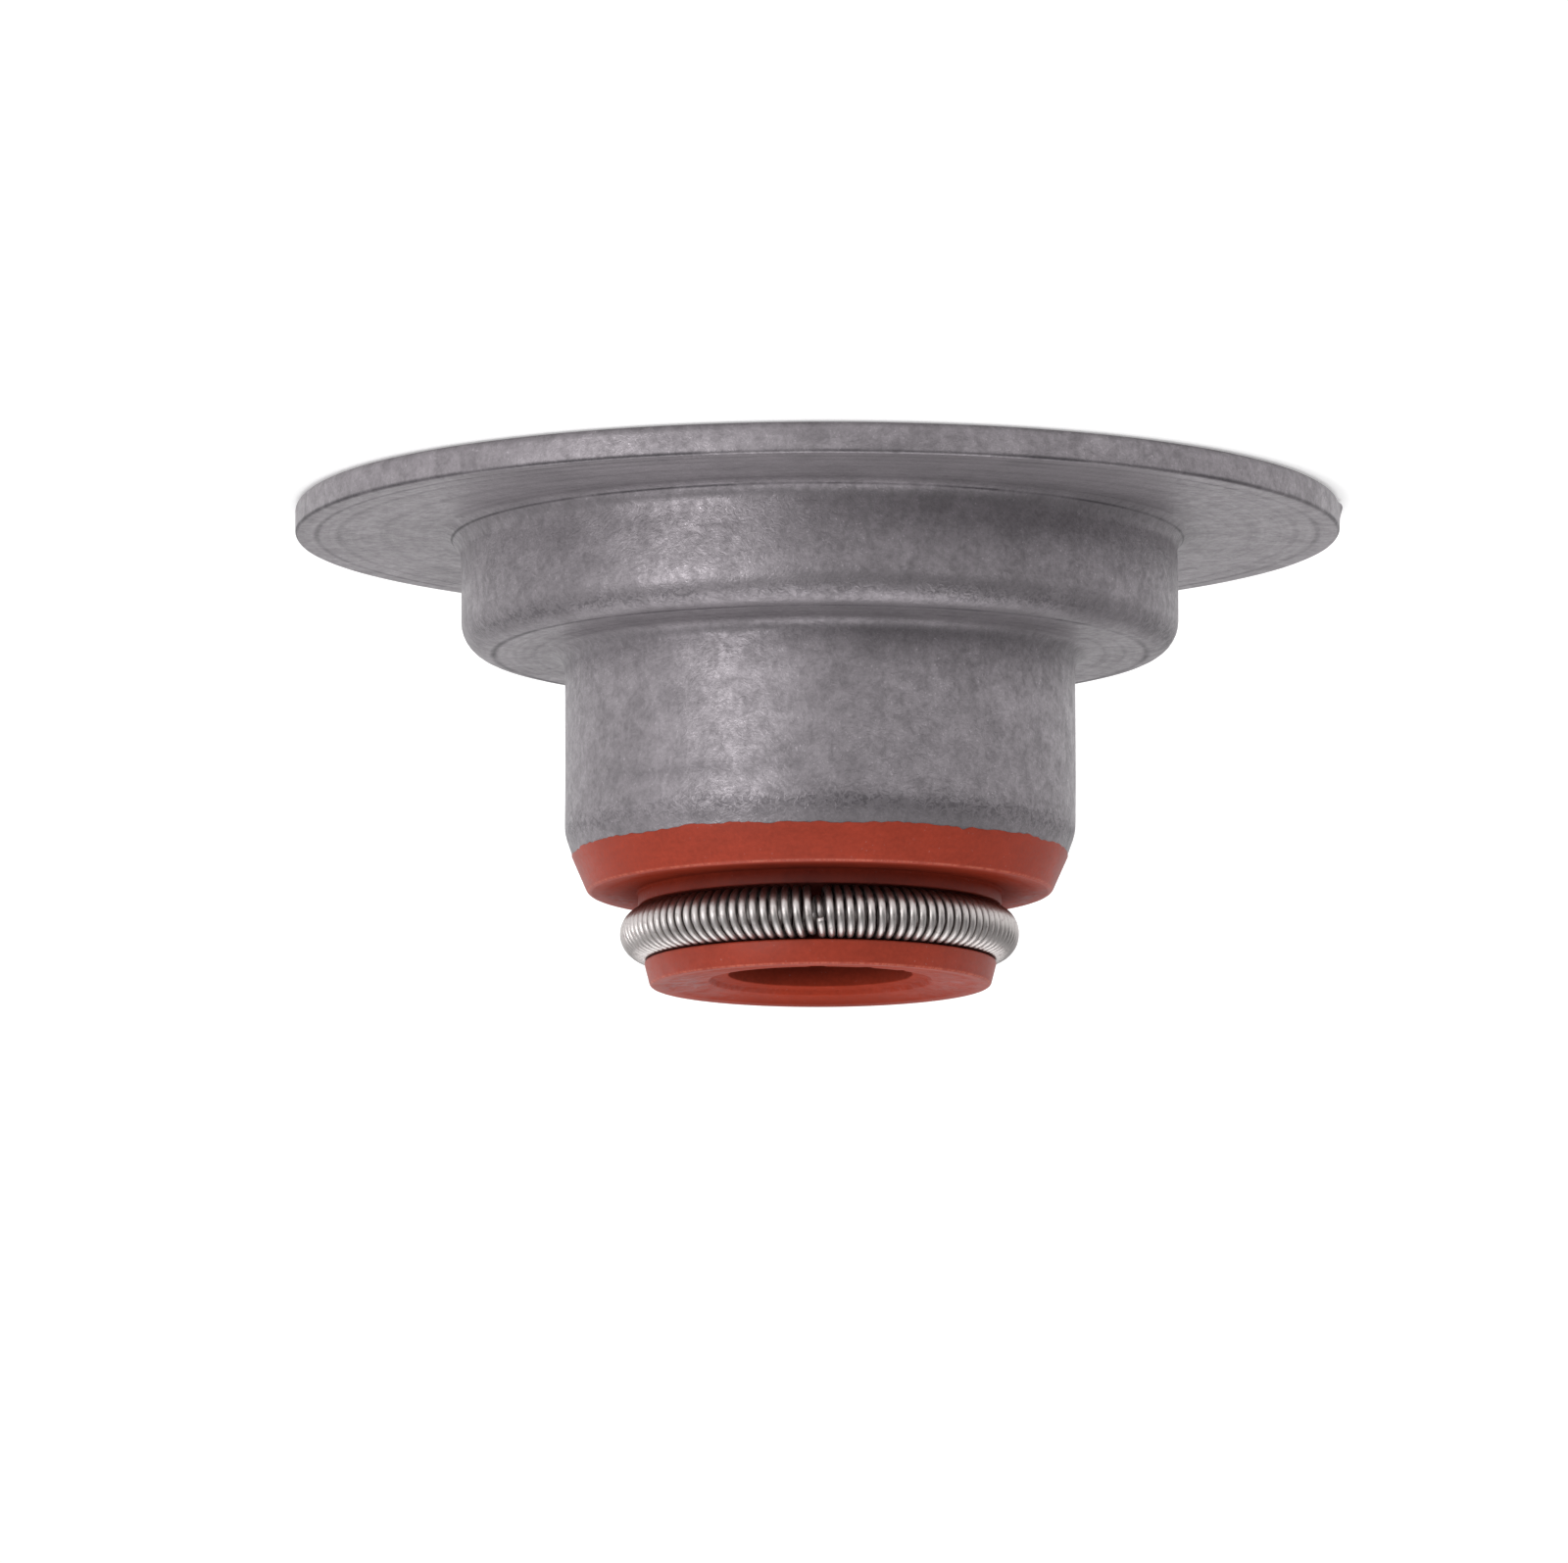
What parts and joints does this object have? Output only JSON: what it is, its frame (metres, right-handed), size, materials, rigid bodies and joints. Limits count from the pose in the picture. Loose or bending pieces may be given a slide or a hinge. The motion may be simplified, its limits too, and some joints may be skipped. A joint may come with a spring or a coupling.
{
  "type": "valve stem seal",
  "caption": "Pressed steel spring seat with a stepped tube, and a moulded rubber lip that a garter spring holds on the valve stem.",
  "frame": {"origin": "centre of the flange's seat face, which lies on the cylinder head", "axes": "+Z along the valve stem, from the seat face towards the sealing lip; the garter spring's joint is at -Y"},
  "size_m": [0.03, 0.03, 0.0139],
  "materials": {
    "pressed_steel": "matt tumbled grey steel with fine draw lines",
    "seal_rubber": "satin red-brown moulded rubber",
    "spring_wire": "bright drawn wire"
  },
  "bodies": {
    "root": {"spring_seat_shell": "pressed_steel", "rubber_seal": "seal_rubber", "garter_spring": "spring_wire"}
  },
  "joints": []
}
